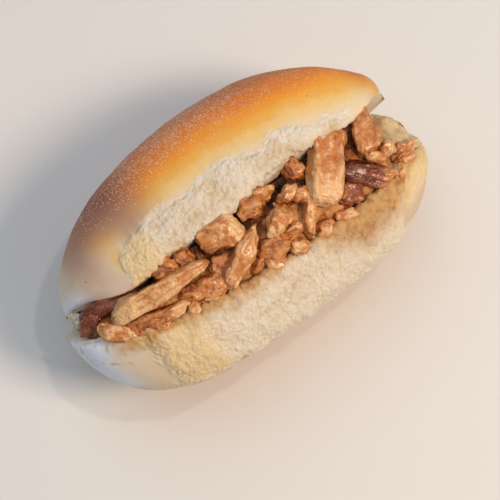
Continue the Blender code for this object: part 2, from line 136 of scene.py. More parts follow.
# The small pieces of the heap, in the same words.
SCRAPS = [
    ("bit_left_end", (-75.4, 0.48, -5), (-68.5, 0.56, -5), 8.0, 6.0, 0.5, 0, 0),
    ("lobe_left", (-72.3, 0.21, -1), (-60.4, 0.10, -1.5), 6.8, 6.0, 1.0, 10, -0.2),
    ("edge_left", (-57.2, 0.15, -2), (-47, 0.15, -2), 5.5, 5.0, 0.8, 0, 0.1),
    ("edge_low_left", (-41.2, 0.16, -2), (-34.9, 0.17, -2), 6.0, 5.5, 0.8, 10, 0),
    ("bit_middle_left", (-39.4, 0.34, -4), (-31, 0.41, -4), 9.0, 7.0, 0.8, 0, 0.1),
    ("bit_under_faceted", (-26.6, 0.48, -5), (-15.4, 0.47, -5), 9.0, 7.0, 0.5, 0, 0),
    ("bit_under_lip", (-34.1, 0.96, -6.5), (-25.8, 0.89, -6.5), 8.5, 7.0, 0.5, 0, -0.2),
    ("edge_flat", (-33.9, 0.20, -3), (-26.3, 0.20, -3), 6.0, 5.0, 0.8, -10, 0),
    ("edge_middle", (-11.6, 0.25, -4), (-6.1, 0.21, -4), 6.0, 5.5, 0.8, 0, 0.1),
    ("bit_edge", (-6.8, 0.22, -2.5), (1.7, 0.00, -2.5), 6.5, 5.5, 1.0, 0, 0),
    ("wedge_lower", (4.9, 0.23, -1.5), (12.3, 0.06, -1), 6.5, 5.5, 0.5, 0, -0.7),
    ("bit_lip", (4.7, 1.06, -5), (13.2, 0.88, -5), 6.5, 6.0, 0.5, 0, 0.1),
    ("bit_middle", (8.8, 0.31, -4), (15.4, 0.42, -4), 7.5, 6.5, 0.5, 0, 0.1),
    ("curl_left", (14.8, 0.82, -2), (19.1, 0.70, -2), 8.0, 5.5, 1.0, 15, 0),
    ("curl_right", (17.8, 0.70, -3), (24.1, 0.61, -3), 6.5, 5.5, 1.0, 0, 0),
    ("bit_deep", (23.2, 1.14, -7), (28.1, 0.80, -7), 8.5, 7.0, 0.5, 0, 0),
    ("edge_right", (15.8, 0.12, -2), (23.3, 0.09, -2), 6.5, 5.0, 0.5, 0, 0.1),
    ("shred_low", (18.1, 0.12, -3), (26.4, 0.14, -3), 8.0, 5.0, 0.8, 0, 0),
    ("flake_low", (25.8, 0.19, -1), (35.6, 0.09, -1), 4.5, 4.0, 0.5, 0, 0),
    ("shred_right", (52.2, 0.56, -1), (58.1, 0.34, -1), 5.0, 4.5, 0.5, 0, 0),
    ("lump_right", (62.6, 0.51, -1), (59.5, 0.34, -1), 6.0, 5.5, 0.5, 0, 0),
    ("tongue_right", (64.7, 0.30, -2), (74.9, 0.12, -1.5), 5.5, 4.5, 0.5, 0, -0.3),
    ("edge_end", (57, 0.02, -2), (62.1, 0.06, -1.5), 5.5, 5.0, 0.5, 0, 0),
]

# How much darker than the rest some pieces are, which for the pieces deep under the crown's lip is
# painted shade, how fibrous and how square, and which end is pale.
PLAIN = (0.06, 0.3, 0.3, 0)
LOOKS = {
    "strip_long": (-0.02, 1.0, 0.0, -1),
    "slab_upright": (0.08, 0.9, 1.0, 1),
    "chunk_faceted": (0.12, 0.3, 0.6, 1),
    "strip_diagonal": (0.06, 0.8, 0.2, 0),
    "strip_thin": (0.02, 0.7, 0.3, 0),
    "roller": (0.79, 0.8, 0.9, 1),
    "chunk_shade": (0.60, 0.4, 0.7, 0),
    "chunk_round": (-0.08, 0.1, 0.0, 0),
    "chunk_lower": (0.22, 0.3, 0.4, 0),
    "chunk_folded": (0.22, 0.3, 0.3, 0),
    "strip_under_lip": (0.8, 0.8, 0.2, 0),
    "strip_low_left": (0.36, 0.8, 0.1, 1),
    "strip_flat": (0.25, 0.5, 0.3, 0),
    "chunk_lip_left": (0.26, 0.3, 0.3, 0),
    "slab_right": (0.18, 0.7, 1.0, 0),
    "bit_deep": (0.30, 0.3, 0.4, 0),
    "bit_left_end": (0.72, 0.3, 0.3, 0),
    "bit_under_lip": (0.26, 0.3, 0.3, 0),
    "bit_middle_left": (0.28, 0.3, 0.3, 0),
    "bit_under_faceted": (0.32, 0.3, 0.3, 0),
    "shred_low": (0.35, 0.6, 0.3, 0),
    "edge_middle": (0.35, 0.3, 0.3, 0),
    "edge_left": (0.25, 0.5, 0.2, 0),
}

# ---------------- torn crumbs on the lip
BASE_TUFTS = 200
JOIN_TUFTS = 12
TUFT_GRID = (14, 18)

# ---------------- colours
CRUST_TONES = [  # from pale to dark, the two ends first; the palest is pale crust with a painted cool blue-grey shade, which the pale left ends reach
    (0.00, (0.78, 0.81, 0.88)),
    (0.95, (0.56, 0.18, 0.06)),
    (0.18, (0.72, 0.61, 0.46)),
    (0.38, (0.74, 0.58, 0.37)),
    (0.47, (0.77, 0.52, 0.21)),
    (0.56, (0.79, 0.41, 0.08)),
    (0.66, (0.84, 0.32, 0.04)),
    (0.80, (0.76, 0.22, 0.035)),
]
RUDDY = ((0.66, 0.49, 0.36), (0.23, 0.032, 0.008))  # pale and browned
FLOUR = (0.90, 0.72, 0.56)
SPECK = (0.12, 0.05, 0.02)
CRUMB = (0.775, 0.67, 0.535)
# painted shade in the crumb's pores
PORE_SHADE = (0.60, 0.43, 0.24)
GOLDEN = (0.79, 0.57, 0.28)
# painted shade in the crumb's pits
PIT_SHADE = (0.66, 0.45, 0.18)
STAIN = ((0.57, 0.315, 0.10), (0.40, 0.155, 0.048))  # thin and thick

# Chicken from its ridges to its hollows: light, middle, deep and dark; the darker stops paint the shade
# in the hollows and under the crown's lip.
MEAT = ((0.77, 0.44, 0.195), (0.54, 0.185, 0.040), (0.22, 0.042, 0.006), (0.065, 0.010, 0.002))
# The heap under the strips: the same tones darkened as painted shade.
UNDER_PAINTED_SHADE = ((0.60, 0.27, 0.09), (0.34, 0.11, 0.028), (0.10, 0.025, 0.007), (0.02, 0.004, 0.001))
MEAT_WET = 0.6
UNDER_WET = 0.1
SPICE = (0.36, 0.11, 0.02)

# ---------------- the studio, in metres
LAMPS = [  # name, where it stands as shares of the frame's right, up and back, size, watts, colour
    ("key", (0.62, 0.02, 0.78), 0.36, 10.9, (1.0, 0.82, 0.62)),
    ("glint", (0.25, 0.35, 0.9), 0.05, 1.5, (1.0, 0.93, 0.85)),
    ("fill", (-0.3, 0.5, 0.8), 1.2, 5.0, (0.84, 0.91, 1.0)),
]
LAMP_DISTANCE = 1.2
LAMP_AIM = (0, 0, 0.04)
ROOM_COLOUR = (0.72, 0.84, 1.0)
ROOM_STRENGTH = 0.30
FLOOR_COLOUR = (0.72, 0.69, 0.66)
FLOOR_REACH = 2.0


# ---------------- numbers
def taper(u, sharp, power):
    """Share of the full size at station u, from -1 to 1: one minus |u| to the power sharp, and the
    whole to the other power, so that it closes at both ends."""
    return np.clip(1 - np.abs(u) ** sharp, 0, None) ** power


def smooth_step(value, start, end):
    """0 before start, 1 after end, and an S curve between."""
    share = np.clip((value - start) / (end - start), 0, 1)
    return share * share * (3 - 2 * share)


def scramble(cells, seed):
    """A fixed random number from 0 to 1 for each whole-number cell of a lattice."""
    with np.errstate(over="ignore"):
        mixed = cells[..., 0] * 374761393 + cells[..., 1] * 668265263 + cells[..., 2] * 1440662683
        mixed = (mixed + seed * 1274126177) & 0x7FFFFFFF
        mixed = ((mixed ^ (mixed >> 13)) * 1274126177) & 0x7FFFFFFF
        mixed = ((mixed ^ (mixed >> 15)) * 668265263) & 0x7FFFFFFF
    return ((mixed ^ (mixed >> 16)) & 0xFFFFFF) / 0xFFFFFF


def bumps(points, grain, seed=0):
    """Smooth random relief from about -1 to 1 with bumps about grain across: at each corner of the
    lattice a random slope, and between the corners a blend of the eight slopes' heights."""
    scaled = points / grain
    cell = np.floor(scaled).astype(np.int64)
    part = scaled - cell
    fade = part * part * part * (part * (part * 6 - 15) + 10)
    total = 0
    for corner in np.ndindex(2, 2, 2):
        offset = np.array(corner)
        slope = [2 * scramble(cell + offset, seed * 7 + axis) - 1 for axis in range(3)]
        height = sum(slope[axis] * (part[..., axis] - offset[axis]) for axis in range(3))
        total = total + height * np.prod(np.where(offset, fade, 1 - fade), axis=-1)
    return 1.6 * total


def knobs(points, grain, seed=0):
    """Rounded knobs grain apart, 1 at a knob's middle and about 0 in the creases between them: one
    minus the distance to the nearest of the points scattered one to a lattice cell."""
    scaled = points / grain
    cell = np.floor(scaled).astype(np.int64)
    nearest = np.full(points.shape[:-1], 9.0)
    for step in np.ndindex(3, 3, 3):
        other = cell + np.array(step) - 1
        place = np.stack([scramble(other, seed * 7 + axis) for axis in range(3)], -1)
        gap = other + place - scaled
        nearest = np.minimum(nearest, np.einsum("...i,...i", gap, gap))
    return 1 - np.sqrt(nearest)


def grid_normals(points):
    """Unit normals of a grid of rings, pointing away from the middle of each ring."""
    along = np.gradient(points, axis=0)
    padded = np.concatenate([points[:, -1:], points, points[:, :1]], axis=1)
    normal = np.cross((padded[:, 2:] - padded[:, :-2]) / 2, along)
    normal /= np.maximum(np.linalg.norm(normal, axis=-1, keepdims=True), 1e-9)
    out = points - points.mean(axis=1, keepdims=True)
    return normal * np.sign(np.sum(normal * out))


# ---------------- meshes
def ring_faces(rings, sides):
    """Faces of a closed grid of rings: quads from ring to ring and triangles round each end point.
    The two end points are numbered after the grid's."""
    row, side = np.meshgrid(np.arange(rings - 1), np.arange(sides), indexing="ij")
    after = (side + 1) % sides
    here, there = row * sides, (row + 1) * sides
    quads = np.stack([here + side, there + side, there + after, here + after], -1).reshape(-1, 4)
    side, after = side[0], after[0]
    last, pole = (rings - 1) * sides, rings * sides
    first_cap = np.stack([side, after, np.full(sides, pole)], -1)
    last_cap = np.stack([last + after, last + side, np.full(sides, pole + 1)], -1)
    return quads, np.concatenate([first_cap, last_cap])


def mesh_from(name, corners, *face_sets):
    """A mesh from an array of corners and arrays of faces."""
    mesh = bpy.data.meshes.new(name)
    mesh.vertices.add(len(corners))
    mesh.vertices.foreach_set("co", corners.astype(np.float32).ravel())
    loops = np.concatenate([faces.reshape(-1) for faces in face_sets])
    sizes = np.concatenate([np.full(len(faces), faces.shape[1]) for faces in face_sets])
    mesh.loops.add(len(loops))
    mesh.loops.foreach_set("vertex_index", loops.astype(np.int32))
    mesh.polygons.add(len(sizes))
    mesh.polygons.foreach_set("loop_start", (np.cumsum(sizes) - sizes).astype(np.int32))
    mesh.update(calc_edges=True)
    mesh.shade_smooth()
    return mesh


def keep_attribute(mesh, label, values):
    """Stores one number for each corner of a mesh, for its material to read."""
    kept = mesh.attributes.new(label, "FLOAT", "POINT")
    kept.data.foreach_set("value", values.astype(np.float32))


def shown(name, mesh):
    """An object for a mesh, riding on the only body."""
    body = bpy.data.objects.new(name, mesh)
    bpy.context.scene.collection.objects.link(body)
    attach(body, "root")
    return body


def solid(name, grid, attributes, uv=None):
    """A closed mesh from a grid of rings, a point at each end, turned so that the enclosed volume is
    positive. A value at an end point is the mean of the ring beside it."""
    rings, sides = grid.shape[:2]
    corners = np.concatenate([grid.reshape(-1, 3), grid[[0, -1]].mean(axis=1)]) * MM
    quads, caps = ring_faces(rings, sides)
    volume = sum(
        np.einsum("ij,ij", corners[t[:, 0]], np.cross(corners[t[:, 1]], corners[t[:, 2]]))
        for t in (quads[:, :3], quads[:, [0, 2, 3]], caps)
    )
    if volume < 0:
        quads, caps = quads[:, ::-1], caps[:, ::-1]
    mesh = mesh_from(name, corners, quads, caps)
    for label, values in attributes.items():
        ends = [values[0].mean(), values[-1].mean()]
        keep_attribute(mesh, label, np.concatenate([values.reshape(-1), ends]))
    if uv is not None:
        places = np.concatenate([uv.reshape(-1, 2), [uv[0].mean(0), uv[-1].mean(0)]]) * MM
        loops = np.concatenate([quads.reshape(-1), caps.reshape(-1)])
        layer = mesh.uv_layers.new(name="grain")
        layer.data.foreach_set("uv", places[loops].astype(np.float32).ravel())
    return shown(name, mesh)


def many_balls(name, grids, attributes):
    """One mesh from a stack of ball grids, each closed by a point at both ends and turned outwards."""
    count, rings, sides = grids.shape[:3]
    poles = grids[:, [0, -1]].mean(axis=2)
    corners = np.concatenate([grids.reshape(count, -1, 3), poles], axis=1) * MM
    quads, caps = ring_faces(rings, sides)
    volume = np.zeros(count)
    for faces in (quads[:, :3], quads[:, [0, 2, 3]], caps):
        a, b, c = (corners[:, faces[:, k]] - corners[:, :1] for k in range(3))
        volume += np.einsum("nij,nij->n", a, np.cross(b, c))
    start = corners.shape[1] * np.arange(count)[:, None, None]
    inside_out = (volume < 0)[:, None, None]
    turned = [np.where(inside_out, f[:, ::-1] + start, f + start) for f in (quads, caps)]
    face_sets = [faces.reshape(-1, faces.shape[-1]) for faces in turned]
    mesh = mesh_from(name, corners.reshape(-1, 3), *face_sets)
    for label, values in attributes.items():
        flat = values.reshape(count, -1)
        keep_attribute(mesh, label, np.concatenate([flat, flat[:, :1], flat[:, -1:]], axis=1).ravel())
    return shown(name, mesh)


# ---------------- shader arithmetic
class Value:
    """A socket of a material that adds Math nodes when it is used in an expression."""

    def __init__(self, finish, socket):
        self.finish, self.socket = finish, socket

    def __add__(self, other):
        return self.finish.math("ADD", self, other)

    def __sub__(self, other):
        return self.finish.math("SUBTRACT", self, other)

    def __mul__(self, other):
        return self.finish.math("MULTIPLY", self, other)

    def __rsub__(self, other):
        return self.finish.math("SUBTRACT", other, self)

    def __lt__(self, other):
        return self.finish.math("LESS_THAN", self, other)


class Finish:
    """One material: a Principled shader and the nodes that feed it."""

    def __init__(self, name, **constants):
        self.material = bpy.data.materials.new(name)
        self.material.use_nodes = True
        self.tree = self.material.node_tree
        self.shader = self.tree.nodes["Principled BSDF"]
        self.paint(**constants)

    def node(self, kind, settings=(), sockets=(), out=0):
        """Adds a node, sets its settings, then its sockets to values or links, and gives an output."""
        made = self.tree.nodes.new(kind)
        for label, value in dict(settings).items():
            setattr(made, label, value)
        for label, value in dict(sockets).items():
            self.feed(made.inputs[label], value)
        return Value(self, made.outputs[out])

    def feed(self, socket, value):
        """Links a socket to a Value, or sets it to a number or a colour."""
        if isinstance(value, Value):
            self.tree.links.new(value.socket, socket)
        elif isinstance(value, tuple) and socket.type == "RGBA":
            socket.default_value = (*value, 1.0)
        else:
            socket.default_value = value

    def math(self, operation, first, second):
        return self.node("ShaderNodeMath", {"operation": operation}, {0: first, 1: second})

    def place(self):
        return self.node("ShaderNodeTexCoord", out="Object")

    def grain_place(self, stretch):
        """The piece's own lengthwise and crosswise place, with the length squeezed."""
        uv = self.node("ShaderNodeUVMap", {"uv_map": "grain"})
        sockets = {0: uv, 1: (1 / stretch, 1, 1)}
        return self.node("ShaderNodeVectorMath", {"operation": "MULTIPLY"}, sockets)

    def attribute(self, label):
        return self.node("ShaderNodeAttribute", {"attribute_name": label}, out="Fac")

    def noise(self, grain, detail, place=None, roughness=0.5):
        """Noise from 0 to 1 with features about grain millimetres across."""
        sockets = {"Vector": place or self.place(), "Scale": 1 / (grain * MM), "Detail": detail}
        return self.node("ShaderNodeTexNoise", {}, {**sockets, "Roughness": roughness})

    def cells(self, grain, out="Distance"):
        """Points scattered about grain millimetres apart: the distance to the nearest, or its colour."""
        sockets = {"Vector": self.place(), "Scale": 1 / (grain * MM)}
        return self.node("ShaderNodeTexVoronoi", {}, sockets, out)

    def fade(self, value, start, end, low=0.0, high=1.0):
        """low before start, high after end, and an S curve between."""
        settings = {"interpolation_type": "SMOOTHSTEP"}
        sockets = {"Value": value, "From Min": start, "From Max": end, "To Min": low, "To Max": high}
        return self.node("ShaderNodeMapRange", settings, sockets)

    def mix(self, share, first, second):
        """The first colour at share 0 and the second at share 1."""
        return self.node("ShaderNodeMix", {"data_type": "RGBA"}, {0: share, 6: first, 7: second}, out=2)

    def ramp(self, value, stops):
        """A colour for each value, by stops of (place, colour), with both ends of the ramp first."""
        made = self.node("ShaderNodeValToRGB", {}, {"Fac": value})
        ramp = made.socket.node.color_ramp
        ramp.interpolation = "EASE"
        for stop, (place, colour) in enumerate(stops):
            mark = ramp.elements[stop] if stop < 2 else ramp.elements.new(place)
            mark.position = place
            mark.color = (*colour, 1)
        return made

    def bump(self, height, depth):
        """A normal from a height, which is worth depth millimetres."""
        sockets = {"Height": height, "Distance": depth * MM, "Strength": 1.0}
        return self.node("ShaderNodeBump", {}, sockets)

    def paint(self, **sockets):
        """Feeds the shader's sockets, named with _ for a space."""
        for label, value in sockets.items():
            self.feed(self.shader.inputs[label.replace("_", " ")], value)
        return self.material


# ---------------- the bread
def crown_half_depth(u):
    return ROLL_DEPTH / 2 * taper(u, 2.8, 0.45)


def base_half_depth(u):
    return ROLL_DEPTH / 2 * taper(u, 3.0, 0.36)


def rounded(angle, half_width, height, side_power, top_power):
    """Half a superellipse, from the lip round the outside to the hinge side."""
    across = half_width * np.sign(np.cos(angle)) * np.abs(np.cos(angle)) ** side_power
    return across, height * np.abs(np.sin(angle)) ** top_power


def end_lift(u):
    """How far the cut is above the roll's own middle: nothing but near the left end."""
    return END_LIFT * smooth_step(-u, 0.55, 1.0)


def half_ring(u, turn, crown):
    """(depth, height) from the middle of the cut face, at station u and share turn of the way round.
    The first part of the ring is the outside, lip to hinge side, and the rest is the cut face."""
    outside = 1 - FACE_SHARE
    angle = np.pi * np.clip(turn / outside, 0, 1)
    back = np.clip((turn - outside) / FACE_SHARE, 0, 1)
    if crown:
        half, full = crown_half_depth(u), CROWN_HEIGHT
        depth, height = rounded(angle, half, full * taper(u, 2.2, 0.56), 0.8, 0.91)
    else:
        half, full = base_half_depth(u), BASE_HEIGHT
        sharp = np.where(u < 0, 4.4, 3.2)
        depth, height = rounded(angle, half, -full * taper(u, sharp, 0.42), 0.56, 0.91)
    height = np.where(turn > outside, 0, height)
    height = height + end_lift(u) * (1 - np.abs(height) / full)
    return np.where(turn > outside, half * (2 * back - 1), depth), height


def lip_shift(u, depth, height, half, crown):
    """How far a point of a ring, height above the cut, is shifted up. The crown half's lip is torn
    back in two hollows and its right tip turns up. The base half's lip has swollen, and its right end
    stands higher and rounds down to the rim."""
    near = smooth_step(depth, half - 12, half - 1) * np.clip(1 - np.abs(height) / 14, 0, 1)
    if crown:
        left = LIP_HOLLOWS[0] * smooth_step(-np.abs(u + 0.38), -0.34, 0)
        tip = TIP_RISE * smooth_step(u, 0.72, 0.98) * smooth_step(depth, -half, half)
        tip = tip * np.clip(1 - np.abs(height) / 20, 0, 1)
        return near * (left + LIP_HOLLOWS[1] * smooth_step(-np.abs(u - 0.24), -0.34, 0)) + tip
    left_end = smooth_step(-u, 0.80, 0.92)
    end = smooth_step(u, 0.62, 0.78)
    rim = END_SWELL * end - END_FALL * np.clip((u - 0.77) / 0.23, 0, 1) ** 1.5
    rim = rim + END_MOUND * smooth_step(u, 0.74, 0.87) * smooth_step(half / 2 - depth, 0, half)
    swell = LIP_SWELL * (1 - end) * (1 - left_end)
    return swell * near + rim * np.clip(1 - np.abs(height) / 20, 0, 1)


def place_along(u, crown):
    """x of a station. The crown half is drawn in a little at the left end."""
    return u * ROLL_LENGTH / 2 + (CROWN_SHORT * smooth_step(-u, 0.6, 1.0) if crown else 0)


def opening(u):
    """Degrees between the two cut faces, growing from the left end to the right."""
    along = (u + 1) / 2
    return OPEN_LEFT + (OPEN_RIGHT - OPEN_LEFT) * along * (2 - along)


def laid(x, depth, height, lean):
    """A point of a half, turned about the hinge so that its cut face leans at that angle."""
    reach = depth + ROLL_DEPTH / 2 - HINGE_WEB
    angle = np.radians(lean)
    y = HINGE_Y - reach * np.cos(angle) + height * np.sin(angle)
    z = HINGE_Z + reach * np.sin(angle) + height * np.cos(angle)
    return np.stack(np.broadcast_arrays(x, y, z), -1)


def ring_turns(fine_end):
    """Shares of the way round a half's ring, close together on the torn side and at the lip."""
    face = 1 - FACE_SHARE
    stretches = [(0, fine_end, 92), (fine_end, face, 56), (face, 0.93, 20), (0.93, 1.0, 28)]
    return np.concatenate([np.linspace(a, b, count, endpoint=False) for a, b, count in stretches])


def torn_share(u, place, crown, soft):
    """1 on the torn patch of the front side and 0 on the crust, with a ragged edge that is twice soft
    millimetres wide. A place is along the roll, above the cut and towards the front."""
    ragged = 4.0 * bumps(place, 9.0, 3) + 2.2 * bumps(place, 3.5, 4) + 1.2 * bumps(place, 1.4, 10)
    left, right = (end * ROLL_LENGTH / 2 for end in (CROWN_TORN_ENDS if crown else BASE_TORN_ENDS))
    along = u * ROLL_LENGTH / 2
    ends = smooth_step(along + ragged, left, left + 1.5 * soft)
    ends = ends * smooth_step(-along + ragged, -right, 1.5 * soft - right)
    if crown:
        reach = CROWN_TORN + (CROWN_TORN_THIN - CROWN_TORN) * np.clip((u - 0.05) / 0.65, 0, 1)
        corner = np.clip((CROWN_TORN_ENDS[0] + 0.16 - u) / 0.16, 0, 1)  # the left end is round
        reach = reach * np.sqrt(np.clip(1 - corner**2, 0.05, 1))
    else:
        reach = BASE_TORN
    return ends * smooth_step(-np.abs(place[..., 1]) + ragged, -reach - soft, soft - reach)


def half_points(u, place, lip, crown):
    """Points of a half before its relief. The lip is round, more so at the ends, torn back or swollen
    as lip_shift says, wavy along the torn patch, and lets the cut open a little at the left end."""
    x, height, depth = np.moveaxis(place, -1, 0)
    along_lip = np.stack([x, 0 * x, 0 * x], -1)
    ragged = torn_share(u, along_lip, crown, LIP_SOFT)
    at_lip = smooth_step(depth, lip - 7, lip) * (depth > 0)
    gap = np.abs(height - end_lift(u))
    wobble = 0.9 * bumps(along_lip, 7.0, 41) + 0.7 * bumps(along_lip, 2.6, 42)
    shift = lip_shift(u, depth, height - end_lift(u), lip, crown) + at_lip * ragged * wobble
    torn_edge = ragged * smooth_step(-gap - (lip - depth), -4, 0)
    shift = shift + 0.9 * torn_edge * bumps(place, 2.6, 43)
    blunt = smooth_step(-u, 0.75, 0.92)
    if crown:
        blunt = np.maximum(blunt, 1.6 * smooth_step(u, 0.8, 0.97))
    edge = 1 - np.minimum(gap / (4 + 4 * blunt), 1)
    rounding = at_lip * (1.0 + 0.6 * ragged + 2.5 * blunt) * edge**2
    sunk = 1.5 * blunt * (u < 0) * smooth_step(depth, lip - 5, lip) * (gap < 3) * (1 - gap / 3)
    above = height + shift + (sunk if crown else -sunk)
    return laid(x, depth - rounding, above, CROWN_LEAN - (0 if crown else opening(u)))


def torn_parts(u, turn, place, points, crown):
    """Where the bread shows its crumb, where the crumb of the torn patch stands proud, and the cut
    face. The base half is torn at its right end's rim too."""
    front = (turn < 0.35) * smooth_step(place[..., 2], 5, 12)
    softness = CROWN_SOFT if crown else BASE_SOFT
    torn, proud = (torn_share(u, place, crown, soft) * front for soft in softness)
    face = smooth_step(turn, *FACE_BLEND) * taper(u, 30, 1)
    if crown:
        cut = face * 0.6 * smooth_step(-u, -0.86, -0.78)
    else:
        rim = smooth_step(u, 0.6, 0.7)
        rim = rim * smooth_step(place[..., 1] + 4.5 * bumps(points, 6.0, 14), -17, -8)
        torn = np.maximum(torn, rim)
        cut = face * (0.6 + 0.4 * smooth_step(u, 0.5, 0.7)) * smooth_step(-u, -1.86, -0.78)
    return np.maximum(torn, cut), proud, face


def crumb_relief(u, points, lumps, face, crown):
    """How far crumb stands out: broad lumps, knobs of two sizes and fine grain. The base half's face
    is broken open at its right end."""
    warp = 1.5 * bumps(points, 5.0, 5)[..., None]
    knobby = knobs(points + warp, 3.8, 2) - 0.45  # its mean
    fine = knobs(points + 0.5 * warp, 1.7, 6) - 0.45
    finest = np.abs(bumps(points, 0.9, 7))
    fluff = 0.7 * lumps + 0.6 * knobby + 0.6 * fine + 0.7 * (finest - 0.3)
    if crown:
        return fluff
    broken = face * smooth_step(u, 0.74, 0.85)
    return fluff + broken * (2.0 * bumps(points, 6.0, 17) + 1.2 * np.abs(bumps(points, 3.0, 18)))


def crown_browning(u, turn, depth, height, waves):
    """How brown and how ruddy the crown half's crust is. It browns towards the top and the right, is
    pale at the left end, and has a golden patch over the torn side's left corner."""
    rise = height / CROWN_HEIGHT + 0.36 * np.clip(u, 0, 1) ** 1.2 + 0.05 * smooth_step(-u, 0.1, 0.4)
    rise = np.minimum(rise, 1 - 0.35 * smooth_step(u, 0.65, 0.9)) + 0.03 * waves
    rise = rise - 0.26 * smooth_step(-u, 0.62, 0.92)
    patch = smooth_step(-np.abs(u + 0.60), -0.16, 0) * smooth_step(height + 2 * waves, 0, 9)
    patch = patch * smooth_step(-height + 3 * waves, -32, -14)
    rise = np.maximum(rise, 0.50 * patch * (1 + 0.15 * waves)) + 0.20 * smooth_step(u, 0.8, 0.95)
    behind = smooth_step(-depth, 0, 12) * smooth_step(u, -0.98, -0.75)
    browning = rise + (np.maximum(rise, 0.5) - rise) * behind
    browning = browning + (0.2 - browning) * smooth_step(turn, *FACE_BLEND)
    ruddy = 0.95 * smooth_step(-u, 0.2, 0.5) * smooth_step(u, -0.95, -0.8) * (1 - 0.85 * patch)
    return browning, ruddy + 0.3 * smooth_step(u, 0.75, 0.95)


def base_browning(u, depth, height, waves):
    """The same of the base half: nearly even, browner below and behind, and pale at the left end."""
    browning = 0.34 + 0.25 * smooth_step(-height + 4 * waves, 16, 33) + 0.15 * (depth < 0)
    browning = browning - 0.32 * smooth_step(-u, 0.72, 0.95) + 0.06 * waves
    return browning, 0.25 + 0.30 * smooth_step(u, 0.3, 0.7) - 0.25 * smooth_step(-u, 0.75, 0.95)


def crown_sauce(u, edge, drip, face):
    """Sauce on the crown half: on its cut face, a few millimetres in from the lip."""
    return face * smooth_step(edge + 2.5 * drip, 3.0, 8.0) * 0.8 * (1 - smooth_step(u, 0.76, 0.86))


def base_sauce(u, turn, edge, drip, lumps, face):
    """Sauce on the base half: soaked into the crumb under the lip, farthest right of the middle, on
    the cut face, and in a line along the lip."""
    outside = turn < 0.5
    soaked = 0.55 + 0.6 * smooth_step(u, 0.15, 0.4) * smooth_step(-u, -0.9, -0.7)
    soaked = soaked + 0.15 * smooth_step(-u, 0.35, 0.55)
    reach = 6 + 14 * smooth_step(u, 0.1, 0.4) * smooth_step(-u, -0.85, -0.6)
    under_lip = smooth_step(-edge + 2.5 * drip + 3.0 * lumps, -reach, 0.0) * outside * soaked
    on_face = smooth_step(edge + 3 * drip, 4.0, 9.0) * (1 - 0.8 * smooth_step(u, 0.74, 0.84))
    line = smooth_step(-edge + 1.2 * drip, -3.2, -0.5) * outside * smooth_step(-u, -0.8, -0.7)
    return np.maximum(np.maximum(under_lip, 0.8 * face * on_face), line)


def bread_half(crown):
    """One half of the roll: its rings, pushed out along their normals by knobs of crumb where it is
    torn and by faint waves elsewhere, with the shares that its material reads."""
    stations = np.linspace(-1, 1, ROLL_STATIONS + 2)[1:-1]
    turn, w = np.meshgrid(ring_turns(CROWN_FINE if crown else BASE_FINE), stations)
    u = w * (1.25 - 0.25 * w**4)  # even stations, closer together at the ends
    x = place_along(u, crown)
    depth, height = half_ring(u, turn, crown)
    lip = crown_half_depth(u) if crown else base_half_depth(u)
    place = np.stack([x, height, depth], -1)
    points = half_points(u, place, lip, crown)
    torn, proud, face = torn_parts(u, turn, place, points, crown)

    lumps = bumps(points, 11.0, 1)
    fluff = crumb_relief(u, points, lumps, face, crown)
    crust = 0.5 * bumps(points, 22.0, 8) + 0.12 * bumps(points, 5.0, 9)
    puff = CROWN_PUFF if crown else BASE_PUFF
    relief = np.maximum(torn, proud) * fluff + proud * puff * (1 - face) + (1 - torn) * crust
    points = points + grid_normals(points) * relief[..., None]
    points[..., 2] = np.maximum(points[..., 2], 0)  # flat where it rests

    waves = bumps(place, 26.0, 11)
    edge = lip - depth + np.abs(height)  # how far from the lip, over the outside or the face
    drip = bumps(place, 6.0, 12) + 0.6 * bumps(points, 2.5, 13)
    # Painted shade in the crumb's pores, darker where its relief is low.
    pore_shade = torn * np.clip((CROWN_PORE_SHADE if crown else BASE_PORE_SHADE) - 0.35 * fluff, 0, 1)
    golden = 0.2 * smooth_step(lumps, 0.1, 0.5)
    if crown:
        browning, ruddy = crown_browning(u, turn, depth, height, waves)
        golden = golden + 1.1 * smooth_step(-u, 0.30, 0.6)
        sauce = crown_sauce(u, edge, drip, face) * smooth_step(x, -74, -64)
    else:
        browning, ruddy = base_browning(u, depth, height, waves)
        golden = golden + 0.9 * smooth_step(-u, 0.30, 0.6) + 1.2 * smooth_step(u, 0.6, 0.75)
        pore_shade = pore_shade * (1 - 0.8 * smooth_step(u, 0.7, 0.85))
        sauce = base_sauce(u, turn, edge, drip, lumps, face) * smooth_step(x, -74, -64)
        spots = smooth_step(bumps(points, 2.6, 16), 0.2, 0.5) * smooth_step(-u, 0.76, 0.82)
        sauce = np.maximum(sauce, 0.6 * spots * smooth_step(-edge, -11, -4))
    browning = np.clip(browning * (1 - torn), 0, 1)
    flour = smooth_step(browning, 0.56, 0.92) * (1 - 0.75 * smooth_step(u, 0.1, 0.5)) * crown
    attributes = {
        "browning": browning,
        "crumb": torn,
        "pore_shade": pore_shade,
        "sauce": np.clip(sauce, 0, 1),
        "ruddy": ruddy,
        "golden": golden,
        "flour": flour * (1 - 0.55 * smooth_step(-u, 0.2, 0.5)),
    }
    return solid("bread_crown" if crown else "bread_base", points, attributes)


